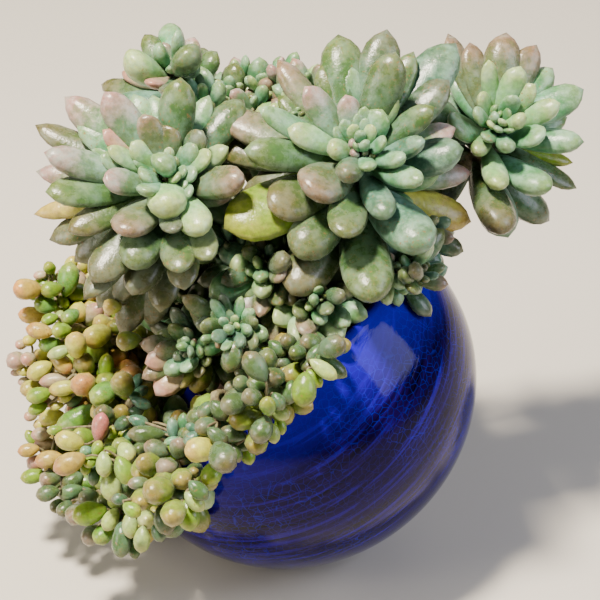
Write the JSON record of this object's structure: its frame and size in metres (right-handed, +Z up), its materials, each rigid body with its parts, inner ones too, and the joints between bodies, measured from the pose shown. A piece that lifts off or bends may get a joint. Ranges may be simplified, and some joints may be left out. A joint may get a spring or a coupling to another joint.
{
  "type": "potted sedum",
  "caption": "Leaning round glazed pot with a rolled lip, filled with soil, and a trailing sedum of plump-leaved rosettes and bead-like shoots spilling over the rim.",
  "frame": {"origin": "middle of the small flat spot that the leaning pot rests on", "axes": "+Z is up, and -Z is the way the resting spot faces; the pot's mouth leans to -X and a little to +Y, and the picture was taken from -Y"},
  "size_m": [0.2386, 0.2003, 0.2383],
  "materials": {
    "glaze": "deep cobalt gloss glaze with fine crackle and paler streaks",
    "soil": "matte crumbly bark and peat mix",
    "rosette_leaf": "blue-green, pink at the tips, with a pale powdery bloom",
    "middle_leaf": "sage green with a pale powdery bloom",
    "bead_leaf": "lime green, orange-pink on the sunlit side, soft sheen"
  },
  "bodies": {
    "root": {"pot": "glaze", "soil": "soil", "rosette_left": "rosette_leaf", "rosette_middle": "rosette_leaf", "rosette_right": "rosette_leaf", "rosette_back": "rosette_leaf", "crown_left": "middle_leaf", "crown_middle": "middle_leaf", "crown_right": "middle_leaf", "under_right": "middle_leaf", "middle_top": "middle_leaf", "middle_low": "middle_leaf", "middle_left": "middle_leaf", "middle_right": "middle_leaf", "rim_1": "bead_leaf", "rim_2": "bead_leaf", "rim_3": "bead_leaf", "rim_4": "bead_leaf", "front_1": "bead_leaf", "front_2": "bead_leaf", "front_3": "bead_leaf", "front_4": "bead_leaf", "front_5": "bead_leaf", "front_6": "bead_leaf", "side_1": "bead_leaf", "side_2": "bead_leaf", "side_3": "bead_leaf", "side_4": "bead_leaf", "side_5": "bead_leaf", "side_6": "bead_leaf", "back_1": "middle_leaf", "back_3": "bead_leaf", "back_4": "bead_leaf", "inner_1": "middle_leaf"}
  },
  "joints": []
}
